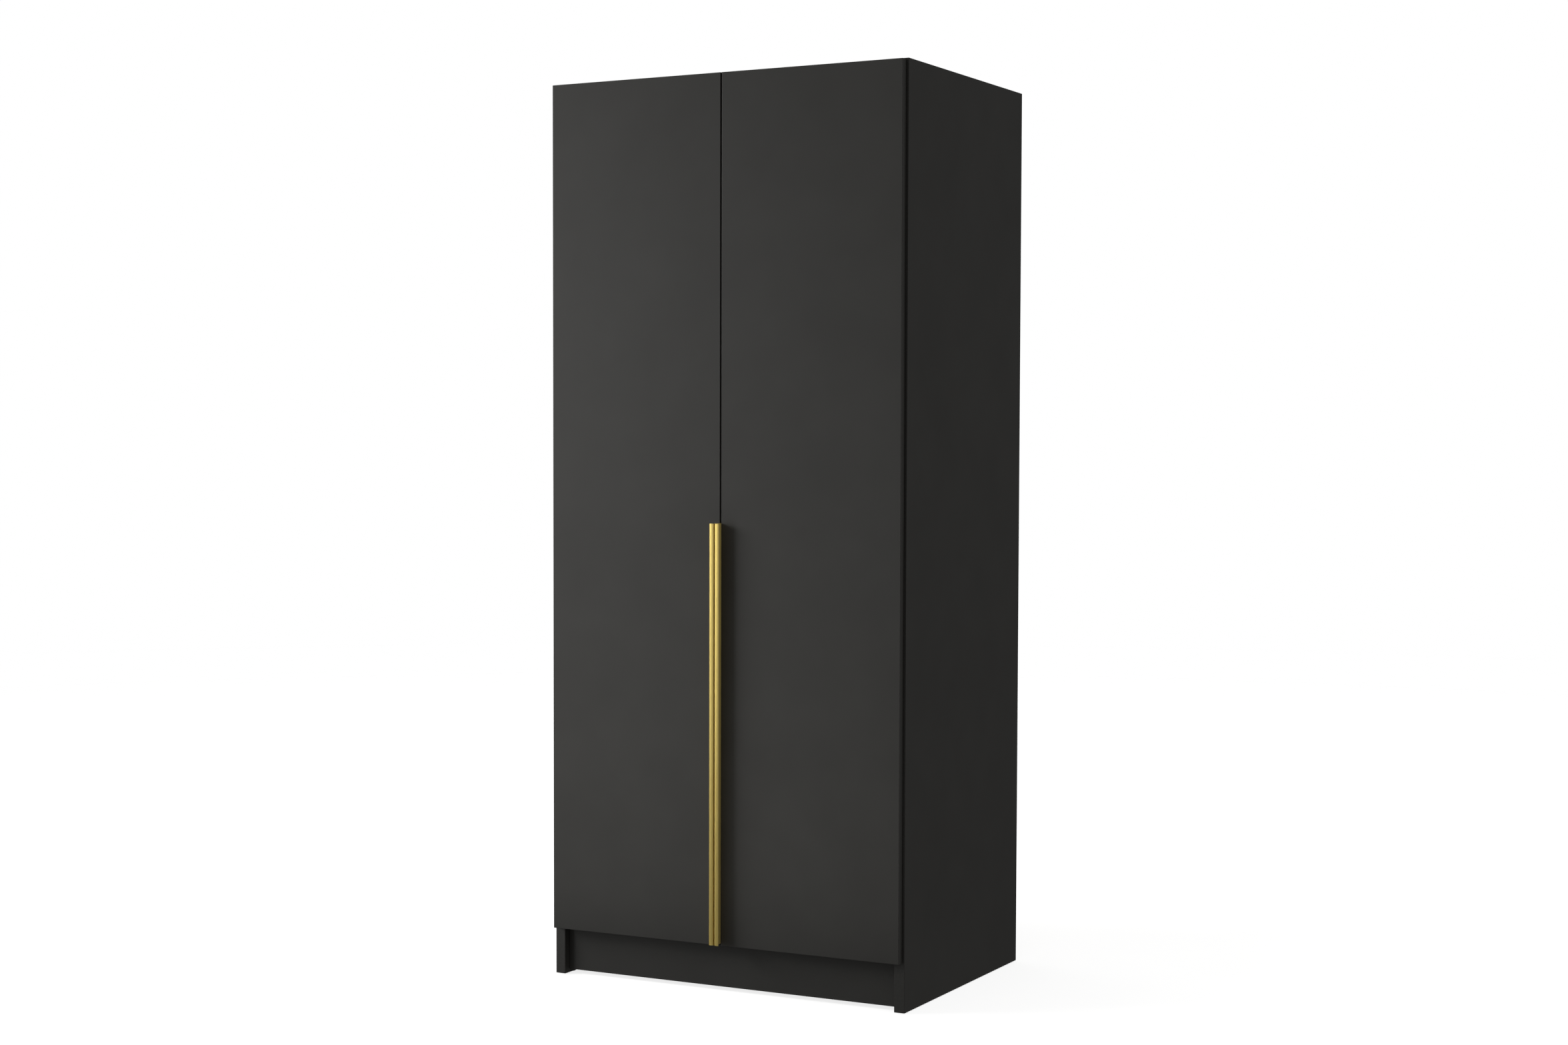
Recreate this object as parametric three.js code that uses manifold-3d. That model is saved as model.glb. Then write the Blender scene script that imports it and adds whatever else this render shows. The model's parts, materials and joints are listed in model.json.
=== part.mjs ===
// Two-door hinged wardrobe in graphite laminate board, with a pair of gold edge pulls.
//
// Millimetres, +Z up. The doors face -Y. The origin is on the floor, below the middle of the
// whole wardrobe with its doors and pulls. Left and right are as seen from the front.
import * as THREE from 'three';
import { mergeVertices } from 'three/addons/utils/BufferGeometryUtils.js';
import Module from 'manifold-3d';

// ---------------------------------------------------------------- driving dimensions

// Carcass
const WIDTH = 800;
const HEIGHT = 1867;
const CARCASS_DEPTH = 602;
const SIDE_THICKNESS = 22;
const BOARD_THICKNESS = 18;
const BOTTOM_HEIGHT = 104; // floor to the underside of the bottom panel

// Plinth boards and floor glides
const PLINTH_THICKNESS = 16;
const PLINTH_RECESS = 18; // behind the front edges of the sides
const PLINTH_FLOOR_GAP = 9;
const REAR_PLINTH_INSET = 60;
const GLIDE_STAND = 2; // how far a glide lifts the side off the floor
const GLIDE_RADIUS = 8;
const GLIDE_CHAMFER = 0.6;
const GLIDE_PIN_RADIUS = 1.5;
const GLIDE_PIN_LENGTH = 10;
const GLIDE_INSET = 45; // from the front and rear edges of the side

// Back panel, in grooves near the rear edges of the sides
const BACK_THICKNESS = 3;
const BACK_INSET = 10;
const BACK_TOP_REVEAL = 2;
const GROOVE_DEPTH = 8;
const GROOVE_PLAY = 1; // sideways room for the back panel in its groove
const JOINT_STRIP_WIDTH = 24;
const JOINT_STRIP_WALL = 1.2;
const JOINT_STRIP_WEB = 2;

// Inside fittings
const TOP_RAIL_HEIGHT = 60;
const TOP_RAIL_THICKNESS = 16;
const SHELF_SPACE = 300; // clear height above the hat shelf
const SHELF_SETBACK = 20;
const SHELF_REAR_GAP = 3;
const PIN_RADIUS = 2.4;
const PIN_HOLE_DEPTH = 9;
const PIN_STAND = 11; // how far a shelf pin stands out of the side
const PIN_TAB_WIDTH = 12;
const PIN_TAB_DROP = 9;
const PIN_TAB_THICKNESS = 2;
const PIN_ROW_PITCH = 32;
const PIN_ROW_EXTRA_HOLES = 2; // above and below the hole in use
const PIN_ROW_FRONT = 37;
const PIN_ROW_REAR = 60;
const RAIL_HEIGHT = 30; // oval clothes rail
const RAIL_WIDTH = 15;
const RAIL_WALL = 1.2;
const RAIL_BELOW_SHELF = 60;
const RAIL_FROM_FRONT = 295;
const SOCKET_WALL = 2;
const SOCKET_DEPTH = 12;
const SOCKET_BASE = 3;
const SOCKET_FLANGE = 6;
const BRACKET_WIDTH = 40; // wall bracket
const BRACKET_LEG = 32;
const BRACKET_THICKNESS = 2;

// Doors
const DOOR_THICKNESS = 16;
const DOOR_SIDE_REVEAL = 5; // side panel left uncovered beside the door
const DOOR_TOP_REVEAL = 2.5;
const DOOR_BOTTOM_HEIGHT = 101;
const DOOR_MEETING_GAP = 3;
const DOOR_CARCASS_GAP = 2;
const BUMPER_RADIUS = 5;
const BUMPER_FROM_MIDDLE = 40;

// Gold edge pulls: a thin profile that hooks round the meeting edge of each door
const PULL_LENGTH = 855;
const PULL_ABOVE_DOOR_BOTTOM = 5;
const PULL_PROJECTION = 28;
const PULL_LIP = 10;
const PULL_WALL = 0.9;
const PULL_CORNER_RADIUS = 1.2;
const PULL_REAR_FLANGE = 20;

// Concealed cup hinges
const HINGES_PER_DOOR = 4;
const HINGE_FROM_DOOR_END = 100;
const CUP_BORE_RADIUS = 17.5;
const CUP_DEPTH = 12.5;
const CUP_WALL = 0.8;
const CUP_RIM = 1.4;
const CUP_FLANGE_THICKNESS = 1;
const CUP_EAR_WIDTH = 14;
const CUP_EAR_REACH = 31;
const CUP_EAR_OFFSET = 6;
const CUP_SLOT_PLAY = 1.5;
const PIVOT_INSIDE_BORE = 3; // pivot axis to the nearest point of the bore's wall
const HINGE_PIN_RADIUS = 1;
const HINGE_PIN_LENGTH = 14.6;
const KNUCKLE_RADIUS = 1.9;
const ARM_WIDTH = 8;
const ARM_SHEET = 1.5;
const ARM_NECK_RUN = 12;
const CHANNEL_WIDTH = 14;
const CHANNEL_LENGTH = 50;
const CHANNEL_HEIGHT = 10.8; // inner face of the side to the outside of the channel
const CHANNEL_WALL = 1.4;
const PLATE_SCREW_LINE = 37; // behind the front edge of the side
const PLATE_WIDTH = 18;
const PLATE_REACH = 25;
const PLATE_THICKNESS = 2;
const PLATE_RIB_LENGTH = 40;

// Clearances
const SEAT_GAP = 0.2; // between faces that rest on each other
const PULL_SEAT_GAP = 0.1;
const BORE_PLAY = 0.3; // round a part seated in a bore
const PIVOT_PLAY = 0.15;
const SWING_CLEARANCE = 0.26; // between the door's rear corner and the side as it swings
const FITTING_CLEARANCE = 0.4;
const NECK_CLEARANCE = 1;

// Facets
const ROUND = 24;
const SMALL_ROUND = 12;
const CORNER_STEPS = 4;

// ---------------------------------------------------------------- places worked out from them

const PULL_FRONT_TO_CARCASS = PULL_PROJECTION + DOOR_THICKNESS + DOOR_CARCASS_GAP;
const FRONT_Y = PULL_FRONT_TO_CARCASS - (PULL_FRONT_TO_CARCASS + CARCASS_DEPTH) / 2;
const REAR_Y = FRONT_Y + CARCASS_DEPTH;
const INNER_X = WIDTH / 2 - SIDE_THICKNESS;
const BOTTOM_TOP_Z = BOTTOM_HEIGHT + BOARD_THICKNESS;
const TOP_UNDER_Z = HEIGHT - BOARD_THICKNESS;
const BACK_REAR_Y = REAR_Y - BACK_INSET;
const BACK_FRONT_Y = BACK_REAR_Y - BACK_THICKNESS;

const SHELF_TOP_Z = TOP_UNDER_Z - SHELF_SPACE;
const SHELF_UNDER_Z = SHELF_TOP_Z - BOARD_THICKNESS;
const SHELF_REAR_Y = BACK_FRONT_Y - SHELF_REAR_GAP;
const PIN_HOLE_RADIUS = PIN_RADIUS + BORE_PLAY / 2;
const PIN_Z = SHELF_UNDER_Z - SEAT_GAP - PIN_RADIUS;
const PIN_ROWS_Y = [FRONT_Y + PIN_ROW_FRONT, BACK_FRONT_Y - PIN_ROW_REAR];
const RAIL_Y = FRONT_Y + RAIL_FROM_FRONT;
const RAIL_Z = SHELF_UNDER_Z - RAIL_BELOW_SHELF;
const GLIDES_Y = [FRONT_Y + GLIDE_INSET, REAR_Y - GLIDE_INSET];

const DOOR_EDGE_X = WIDTH / 2 - DOOR_SIDE_REVEAL;
const DOOR_WIDTH = DOOR_EDGE_X - DOOR_MEETING_GAP / 2;
const DOOR_TOP_HEIGHT = HEIGHT - DOOR_TOP_REVEAL;
const DOOR_HEIGHT = DOOR_TOP_HEIGHT - DOOR_BOTTOM_HEIGHT;
const DOOR_MIDDLE_Z = (DOOR_TOP_HEIGHT + DOOR_BOTTOM_HEIGHT) / 2;
const DOOR_REAR_Y = FRONT_Y - DOOR_CARCASS_GAP;
const DOOR_FRONT_Y = DOOR_REAR_Y - DOOR_THICKNESS;
const BUMPERS_Z = [
  (DOOR_BOTTOM_HEIGHT + BOTTOM_TOP_Z) / 2,
  (DOOR_TOP_HEIGHT + TOP_UNDER_Z) / 2,
];
const PULL_MIDDLE_Z = DOOR_BOTTOM_HEIGHT + PULL_ABOVE_DOOR_BOTTOM + PULL_LENGTH / 2;

// The pivot lies deep in the cup, and close enough to the door's edge for the rear corner of
// the door to swing past the front edge of the side.
const PIVOT_DEPTH = CUP_DEPTH - CUP_WALL - KNUCKLE_RADIUS - BORE_PLAY;
const CORNER_SWING = PIVOT_DEPTH + DOOR_CARCASS_GAP - SWING_CLEARANCE;
const PIVOT_INSET = Math.sqrt(CORNER_SWING ** 2 - PIVOT_DEPTH ** 2);
const PIVOT_X = DOOR_EDGE_X - PIVOT_INSET;
const PIVOT_Y = DOOR_REAR_Y - PIVOT_DEPTH;
const CUP_RADIUS = CUP_BORE_RADIUS - BORE_PLAY;
const CUP_OFFSET = CUP_BORE_RADIUS - PIVOT_INSIDE_BORE; // pivot axis to the cup's centre
const CARCASS_FROM_PIVOT = PIVOT_DEPTH + DOOR_CARCASS_GAP;
const SIDE_FACE_FROM_PIVOT = PIVOT_X - INNER_X;
const HINGES_Z = Array.from(
  { length: HINGES_PER_DOOR },
  (_, i) => DOOR_BOTTOM_HEIGHT + HINGE_FROM_DOOR_END
    + i * (DOOR_HEIGHT - 2 * HINGE_FROM_DOOR_END) / (HINGES_PER_DOOR - 1),
);

// A right-hand piece is its left-hand twin turned half a turn about its own upright axis, top
// to bottom: every such piece is the same above and below its own middle.
const HANDS = [
  { name: 'left', side: -1, turn: 0 },
  { name: 'right', side: 1, turn: Math.PI },
];

// ---------------------------------------------------------------- materials

const finish = (color, roughness, metalness) => (
  new THREE.MeshStandardMaterial({ color, roughness, metalness })
);
const FRONT_LAMINATE = finish(0x3f3e3b, 0.75, 0);
const CARCASS_LAMINATE = finish(0x3c3b38, 0.75, 0);
const BACK_BOARD = finish(0x4a4946, 0.8, 0);
const GOLD_ANODISED = finish(0xc2a76b, 0.35, 1);
const ZINC_STEEL = finish(0xb9babc, 0.35, 1);
const CHROMED_TUBE = finish(0xd0d2d4, 0.2, 1);
const BLACK_PLASTIC = finish(0x232323, 0.5, 0);
const CLEAR_RUBBER = finish(0xcfcfcb, 0.4, 0);

// ---------------------------------------------------------------- solids

const wasm = await Module();
wasm.setup();

function solidOf(geometry) {
  const bare = new THREE.BufferGeometry();
  bare.setAttribute('position', geometry.getAttribute('position').clone());
  bare.setIndex(geometry.index ? geometry.index.clone() : null);
  const merged = mergeVertices(bare, 1e-4);
  const corners = [];
  for (let i = 0; i < merged.index.count; i += 3) {
    const [a, b, c] = [0, 1, 2].map((k) => merged.index.getX(i + k));
    if (a !== b && b !== c && c !== a) {
      corners.push(a, b, c);
    }
  }
  return new wasm.Manifold(new wasm.Mesh({
    numProp: 3,
    vertProperties: new Float32Array(merged.getAttribute('position').array),
    triVerts: new Uint32Array(corners),
  }));
}

function geometryOf(solid) {
  const mesh = solid.getMesh();
  const geometry = new THREE.BufferGeometry();
  geometry.setAttribute('position', new THREE.BufferAttribute(mesh.vertProperties, 3));
  geometry.setIndex(new THREE.BufferAttribute(mesh.triVerts, 1));
  geometry.computeVertexNormals();
  return geometry;
}

function join(first, ...others) {
  const whole = others.reduce((sum, other) => sum.add(solidOf(other)), solidOf(first));
  return geometryOf(whole);
}

function cut(first, ...tools) {
  const rest = tools.reduce((sum, tool) => sum.subtract(solidOf(tool)), solidOf(first));
  return geometryOf(rest);
}

function block([x0, x1], [y0, y1], [z0, z1]) {
  return new THREE.BoxGeometry(x1 - x0, y1 - y0, z1 - z0)
    .translate((x0 + x1) / 2, (y0 + y1) / 2, (z0 + z1) / 2);
}

// A round bar between two heights on the Y axis.
function barAlongY(radius, y0, y1, facets) {
  return new THREE.CylinderGeometry(radius, radius, y1 - y0, facets)
    .translate(0, (y0 + y1) / 2, 0);
}

const barAlongX = (radius, x0, x1, facets) => (
  barAlongY(radius, x0, x1, facets).rotateZ(-Math.PI / 2)
);

const barAlongZ = (radius, z0, z1, facets) => (
  barAlongY(radius, z0, z1, facets).rotateX(Math.PI / 2)
);

// An outline in X and Y, drawn out along Z on both sides of z = 0.
function drawnAlongZ(shape, length) {
  const settings = { depth: length, bevelEnabled: false, curveSegments: CORNER_STEPS };
  return new THREE.ExtrudeGeometry(shape, settings).translate(0, 0, -length / 2);
}

// A slot-shaped outline, upright, round its own centre.
function uprightSlot(width, height) {
  const straight = (height - width) / 2;
  const shape = new THREE.Shape();
  shape.absarc(0, straight, width / 2, 0, Math.PI, false);
  shape.absarc(0, -straight, width / 2, Math.PI, 2 * Math.PI, false);
  shape.closePath();
  return shape;
}

// ---------------------------------------------------------------- the wardrobe

const wardrobe = new THREE.Group();

function addMesh(name, geometry, material) {
  const mesh = new THREE.Mesh(geometry, material);
  mesh.name = name;
  wardrobe.add(mesh);
  return mesh;
}

function addBoard(name, [x0, x1], [y0, y1], [z0, z1], material) {
  const geometry = new THREE.BoxGeometry(x1 - x0, y1 - y0, z1 - z0);
  addMesh(name, geometry, material)
    .position.set((x0 + x1) / 2, (y0 + y1) / 2, (z0 + z1) / 2);
}

// Adds a piece for one hand. Its geometry has +X towards the middle of the wardrobe.
function addHanded(name, geometry, material, hand, distanceFromMiddle, y, z) {
  const mesh = addMesh(name, geometry, material);
  mesh.position.set(hand.side * distanceFromMiddle, y, z);
  mesh.rotation.y = hand.turn;
}

// A side runs down to the floor glides as the wardrobe's leg. Its inner face is at x = 0.
function sideGeometry(hand) {
  const inside = hand.side;
  const across = (near, far) => [near * inside, far * inside].sort((a, b) => a - b);
  const panel = block(across(0, SIDE_THICKNESS), [FRONT_Y, REAR_Y], [GLIDE_STAND, HEIGHT]);
  const groove = block(
    across(-SEAT_GAP, GROOVE_DEPTH),
    [BACK_FRONT_Y - SEAT_GAP, BACK_REAR_Y + SEAT_GAP],
    [BOTTOM_HEIGHT - SEAT_GAP, HEIGHT + SEAT_GAP],
  );
  const holes = [];
  for (const y of PIN_ROWS_Y) {
    for (let k = -PIN_ROW_EXTRA_HOLES; k <= PIN_ROW_EXTRA_HOLES; k += 1) {
      const [x0, x1] = across(-SEAT_GAP, PIN_HOLE_DEPTH);
      holes.push(barAlongX(PIN_HOLE_RADIUS, x0, x1, SMALL_ROUND)
        .translate(0, y, PIN_Z + k * PIN_ROW_PITCH));
    }
  }
  const pinBoreTop = GLIDE_STAND + GLIDE_PIN_LENGTH + BORE_PLAY;
  for (const y of GLIDES_Y) {
    holes.push(barAlongZ(GLIDE_PIN_RADIUS + BORE_PLAY, 0, pinBoreTop, SMALL_ROUND)
      .translate(inside * SIDE_THICKNESS / 2, y, 0));
  }
  return cut(panel, groove, ...holes);
}

function addCarcass() {
  const between = INNER_X - SEAT_GAP;
  for (const hand of HANDS) {
    addMesh(`${hand.name}_side_panel`, sideGeometry(hand), CARCASS_LAMINATE)
      .position.set(hand.side * INNER_X, 0, 0);
  }
  const boardDepth = [FRONT_Y, BACK_FRONT_Y - SEAT_GAP];
  addBoard('top_panel', [-between, between], boardDepth, [TOP_UNDER_Z, HEIGHT], CARCASS_LAMINATE);
  addBoard(
    'bottom_panel',
    [-between, between],
    boardDepth,
    [BOTTOM_HEIGHT, BOTTOM_TOP_Z],
    CARCASS_LAMINATE,
  );
  const plinthHeight = [PLINTH_FLOOR_GAP, BOTTOM_HEIGHT - SEAT_GAP];
  const plinthFront = FRONT_Y + PLINTH_RECESS;
  const plinthRear = REAR_Y - REAR_PLINTH_INSET;
  addBoard(
    'front_plinth',
    [-between, between],
    [plinthFront, plinthFront + PLINTH_THICKNESS],
    plinthHeight,
    FRONT_LAMINATE,
  );
  addBoard(
    'rear_plinth',
    [-between, between],
    [plinthRear - PLINTH_THICKNESS, plinthRear],
    plinthHeight,
    CARCASS_LAMINATE,
  );
}

// A round pad with a pin that is driven up into the side.
function addFloorGlides() {
  const padTop = GLIDE_STAND - SEAT_GAP;
  const pinTop = GLIDE_STAND + GLIDE_PIN_LENGTH;
  const outline = [
    [0, 0],
    [GLIDE_RADIUS - GLIDE_CHAMFER, 0],
    [GLIDE_RADIUS, GLIDE_CHAMFER],
    [GLIDE_RADIUS, padTop],
    [GLIDE_PIN_RADIUS, padTop],
    [GLIDE_PIN_RADIUS, pinTop],
    [0, pinTop],
  ].map(([r, z]) => new THREE.Vector2(r, z));
  const ends = ['front', 'rear'];
  for (const hand of HANDS) {
    GLIDES_Y.forEach((y, i) => {
      const glide = new THREE.LatheGeometry(outline, SMALL_ROUND).rotateX(Math.PI / 2);
      addMesh(`${hand.name}_${ends[i]}_glide`, geometryOf(solidOf(glide)), BLACK_PLASTIC)
        .position.set(hand.side * (INNER_X + SIDE_THICKNESS / 2), y, 0);
    });
  }
}

// Two thin sheets meet in an H-shaped strip, and slide in the grooves of the sides.
function addBack() {
  const outerX = INNER_X + GROOVE_DEPTH - GROOVE_PLAY;
  const innerX = JOINT_STRIP_WEB / 2 + SEAT_GAP;
  const zSpan = [BOTTOM_HEIGHT, HEIGHT - BACK_TOP_REVEAL];
  addBoard('back_panel_left', [-outerX, -innerX], [BACK_FRONT_Y, BACK_REAR_Y], zSpan, BACK_BOARD);
  addBoard('back_panel_right', [innerX, outerX], [BACK_FRONT_Y, BACK_REAR_Y], zSpan, BACK_BOARD);

  const halfWidth = JOINT_STRIP_WIDTH / 2;
  const slotFront = BACK_FRONT_Y - SEAT_GAP;
  const slotRear = BACK_REAR_Y + SEAT_GAP;
  const [stripLow, stripHigh] = [BOTTOM_TOP_Z + SEAT_GAP, TOP_UNDER_Z - TOP_RAIL_HEIGHT - 2 * SEAT_GAP];
  const strip = block(
    [-halfWidth, halfWidth],
    [slotFront - JOINT_STRIP_WALL, slotRear + JOINT_STRIP_WALL],
    [stripLow, stripHigh],
  );
  const slots = [-1, 1].map((side) => block(
    [side * JOINT_STRIP_WEB / 2, side * (halfWidth + 1)].sort((a, b) => a - b),
    [slotFront, slotRear],
    [stripLow - 1, stripHigh + 1],
  ));
  addMesh('back_joint_strip', cut(strip, ...slots), BLACK_PLASTIC);
}

function addTopRail() {
  const between = INNER_X - SEAT_GAP;
  const railTop = TOP_UNDER_Z - SEAT_GAP;
  const railRear = BACK_FRONT_Y - SEAT_GAP;
  const railFront = railRear - TOP_RAIL_THICKNESS;
  addBoard(
    'rear_top_rail',
    [-between, between],
    [railFront, railRear],
    [railTop - TOP_RAIL_HEIGHT, railTop],
    CARCASS_LAMINATE,
  );

  // The bracket ties the top panel to the rail and, through the rail, to the wall.
  const cornerY = railFront - SEAT_GAP;
  const sheet = BRACKET_THICKNESS;
  const across = [-BRACKET_WIDTH / 2, BRACKET_WIDTH / 2];
  const flat = block(across, [cornerY - BRACKET_LEG, cornerY], [railTop - sheet, railTop]);
  const upright = block(across, [cornerY - sheet, cornerY], [railTop - BRACKET_LEG, railTop]);
  addMesh('wall_bracket', join(flat, upright), ZINC_STEEL);
}

// A pin with a tab below it, which bears on the inner face of the side.
function shelfPinGeometry() {
  const pin = barAlongX(PIN_RADIUS, -(PIN_HOLE_DEPTH - BORE_PLAY), PIN_STAND, SMALL_ROUND);
  const tab = block(
    [SEAT_GAP, SEAT_GAP + PIN_TAB_THICKNESS],
    [-PIN_TAB_WIDTH / 2, PIN_TAB_WIDTH / 2],
    [-PIN_TAB_DROP, PIN_RADIUS / 2],
  );
  return join(pin, tab);
}

function addShelf() {
  const between = INNER_X - SEAT_GAP;
  addBoard(
    'hat_shelf',
    [-between, between],
    [FRONT_Y + SHELF_SETBACK, SHELF_REAR_Y],
    [SHELF_UNDER_Z, SHELF_TOP_Z],
    CARCASS_LAMINATE,
  );
  const ends = ['front', 'rear'];
  for (const hand of HANDS) {
    PIN_ROWS_Y.forEach((y, i) => {
      const mesh = addMesh(`${hand.name}_${ends[i]}_shelf_pin`, shelfPinGeometry(), ZINC_STEEL);
      mesh.position.set(hand.side * INNER_X, y, PIN_Z);
      mesh.rotation.z = hand.turn;
    });
  }
}

// A flanged socket that holds one end of the rail against the inner face of the side.
function railSocketGeometry() {
  const sleeveWidth = RAIL_WIDTH + 2 * (SOCKET_WALL + SEAT_GAP);
  const sleeveHeight = RAIL_HEIGHT + 2 * (SOCKET_WALL + SEAT_GAP);
  const base = drawnAlongZ(
    uprightSlot(sleeveWidth + 2 * SOCKET_FLANGE, sleeveHeight + 2 * SOCKET_FLANGE),
    SOCKET_BASE,
  );
  const sleeve = drawnAlongZ(uprightSlot(sleeveWidth, sleeveHeight), SOCKET_BASE + SOCKET_DEPTH);
  const pocket = drawnAlongZ(
    uprightSlot(RAIL_WIDTH + 2 * SEAT_GAP, RAIL_HEIGHT + 2 * SEAT_GAP),
    SOCKET_DEPTH + SOCKET_BASE,
  );
  base.translate(0, 0, SOCKET_BASE / 2);
  sleeve.translate(0, 0, (SOCKET_BASE + SOCKET_DEPTH) / 2);
  pocket.translate(0, 0, (SOCKET_BASE + SOCKET_DEPTH) / 2 + SOCKET_BASE);
  return cut(join(base, sleeve), pocket).rotateY(Math.PI / 2).rotateX(Math.PI / 2);
}

function addClothesRail() {
  const socketX = INNER_X - SEAT_GAP;
  for (const hand of HANDS) {
    addHanded(
      `${hand.name}_rail_socket`,
      railSocketGeometry(),
      CHROMED_TUBE,
      hand,
      socketX,
      RAIL_Y,
      RAIL_Z,
    );
  }
  const railLength = 2 * (socketX - SOCKET_BASE - SEAT_GAP);
  const section = uprightSlot(RAIL_WIDTH, RAIL_HEIGHT);
  section.holes.push(uprightSlot(RAIL_WIDTH - 2 * RAIL_WALL, RAIL_HEIGHT - 2 * RAIL_WALL));
  const rail = drawnAlongZ(section, railLength).rotateY(Math.PI / 2).rotateX(Math.PI / 2);
  addMesh('hanging_rail', rail, CHROMED_TUBE).position.set(0, RAIL_Y, RAIL_Z);
}

// The board of a door, from its hinged edge at x = 0. Its rear face is at y = 0.
function doorGeometry() {
  const board = block(
    [0, DOOR_WIDTH],
    [-DOOR_THICKNESS, 0],
    [-DOOR_HEIGHT / 2, DOOR_HEIGHT / 2],
  );
  const bores = HINGES_Z.map((z) => (
    barAlongY(CUP_BORE_RADIUS, -CUP_DEPTH - BORE_PLAY, 1, ROUND)
      .translate(PIVOT_INSET + CUP_OFFSET, 0, z - DOOR_MIDDLE_Z)
  ));
  return cut(board, ...bores);
}

// The pull's section: rear flange, web in the gap between the doors, and lip. The middle of
// the wardrobe is at x = 0 and the front face of the door at y = 0.
function pullGeometry() {
  const webFar = -(DOOR_MEETING_GAP / 2 - PULL_SEAT_GAP);
  const webNear = webFar + PULL_WALL;
  const lipTip = webNear - PULL_LIP;
  const lipRadius = PULL_WALL / 2;
  const front = -PULL_PROJECTION;
  const flangeFront = DOOR_THICKNESS + PULL_SEAT_GAP;
  const flangeRear = flangeFront + PULL_WALL;
  const flangeTip = webNear - PULL_REAR_FLANGE;
  const cornerX = webNear - PULL_CORNER_RADIUS;

  const section = new THREE.Shape();
  section.absarc(lipTip + lipRadius, front + lipRadius, lipRadius, Math.PI / 2, Math.PI * 1.5);
  section.absarc(cornerX, front + PULL_CORNER_RADIUS, PULL_CORNER_RADIUS, -Math.PI / 2, 0);
  section.absarc(cornerX, flangeRear - PULL_CORNER_RADIUS, PULL_CORNER_RADIUS, 0, Math.PI / 2);
  section.lineTo(flangeTip, flangeRear);
  section.lineTo(flangeTip, flangeFront);
  section.lineTo(webFar, flangeFront);
  section.lineTo(webFar, front + PULL_WALL);
  section.closePath();
  return drawnAlongZ(section, PULL_LENGTH);
}

// A soft round pad on the rear face of the door, which meets the carcass when it shuts.
function bumperGeometry() {
  const thickness = DOOR_CARCASS_GAP - 2 * SEAT_GAP;
  return new THREE.CylinderGeometry(BUMPER_RADIUS * 0.8, BUMPER_RADIUS, thickness, SMALL_ROUND)
    .translate(0, SEAT_GAP + thickness / 2, 0);
}

function addDoors() {
  const ends = ['lower', 'upper'];
  for (const hand of HANDS) {
    addHanded(
      `${hand.name}_door`,
      doorGeometry(),
      FRONT_LAMINATE,
      hand,
      DOOR_EDGE_X,
      DOOR_REAR_Y,
      DOOR_MIDDLE_Z,
    );
    addHanded(
      `${hand.name}_pull`,
      pullGeometry(),
      GOLD_ANODISED,
      hand,
      0,
      DOOR_FRONT_Y,
      PULL_MIDDLE_Z,
    );
    BUMPERS_Z.forEach((z, i) => addHanded(
      `${hand.name}_${ends[i]}_bumper`,
      bumperGeometry(),
      CLEAR_RUBBER,
      hand,
      BUMPER_FROM_MIDDLE,
      DOOR_REAR_Y,
      z,
    ));
  }
}

// Hinge pieces are drawn round the pivot, with the cup's centre on +X and the carcass at +Y.
// The cup is open towards the carcass, and slotted on the side where the arm swings out.
function hingeCupGeometry() {
  const rearFace = PIVOT_DEPTH;
  const flangeTop = rearFace + SEAT_GAP + CUP_FLANGE_THICKNESS;
  const shell = barAlongY(CUP_RADIUS, rearFace - CUP_DEPTH, flangeTop, ROUND);
  const rim = barAlongY(CUP_BORE_RADIUS + CUP_RIM, rearFace + SEAT_GAP, flangeTop, ROUND);
  const ears = drawnAlongZ(uprightSlot(CUP_EAR_WIDTH, 2 * CUP_EAR_REACH), CUP_FLANGE_THICKNESS)
    .rotateX(Math.PI / 2)
    .translate(CUP_EAR_OFFSET, flangeTop - CUP_FLANGE_THICKNESS / 2, 0);
  const hollow = barAlongY(
    CUP_RADIUS - CUP_WALL,
    rearFace - CUP_DEPTH + CUP_WALL,
    flangeTop + 1,
    ROUND,
  );
  const outerEdge = -CUP_OFFSET - PIVOT_INSIDE_BORE;
  const trimmed = block(
    [outerEdge - CUP_RADIUS, outerEdge],
    [rearFace, flangeTop + 1],
    [-CUP_BORE_RADIUS, CUP_BORE_RADIUS],
  );
  const slotHalf = ARM_WIDTH / 2 + CUP_SLOT_PLAY;
  const slot = block(
    [outerEdge - 1, -CUP_OFFSET],
    [rearFace - CUP_DEPTH + CUP_WALL, flangeTop + 1],
    [-slotHalf, slotHalf],
  );
  const pin = barAlongZ(HINGE_PIN_RADIUS, -HINGE_PIN_LENGTH / 2, HINGE_PIN_LENGTH / 2, SMALL_ROUND)
    .translate(-CUP_OFFSET, 0, 0);
  const cup = cut(join(shell, rim, ears), hollow, trimmed, slot);
  return join(cup, pin).translate(CUP_OFFSET, 0, 0);
}

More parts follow.
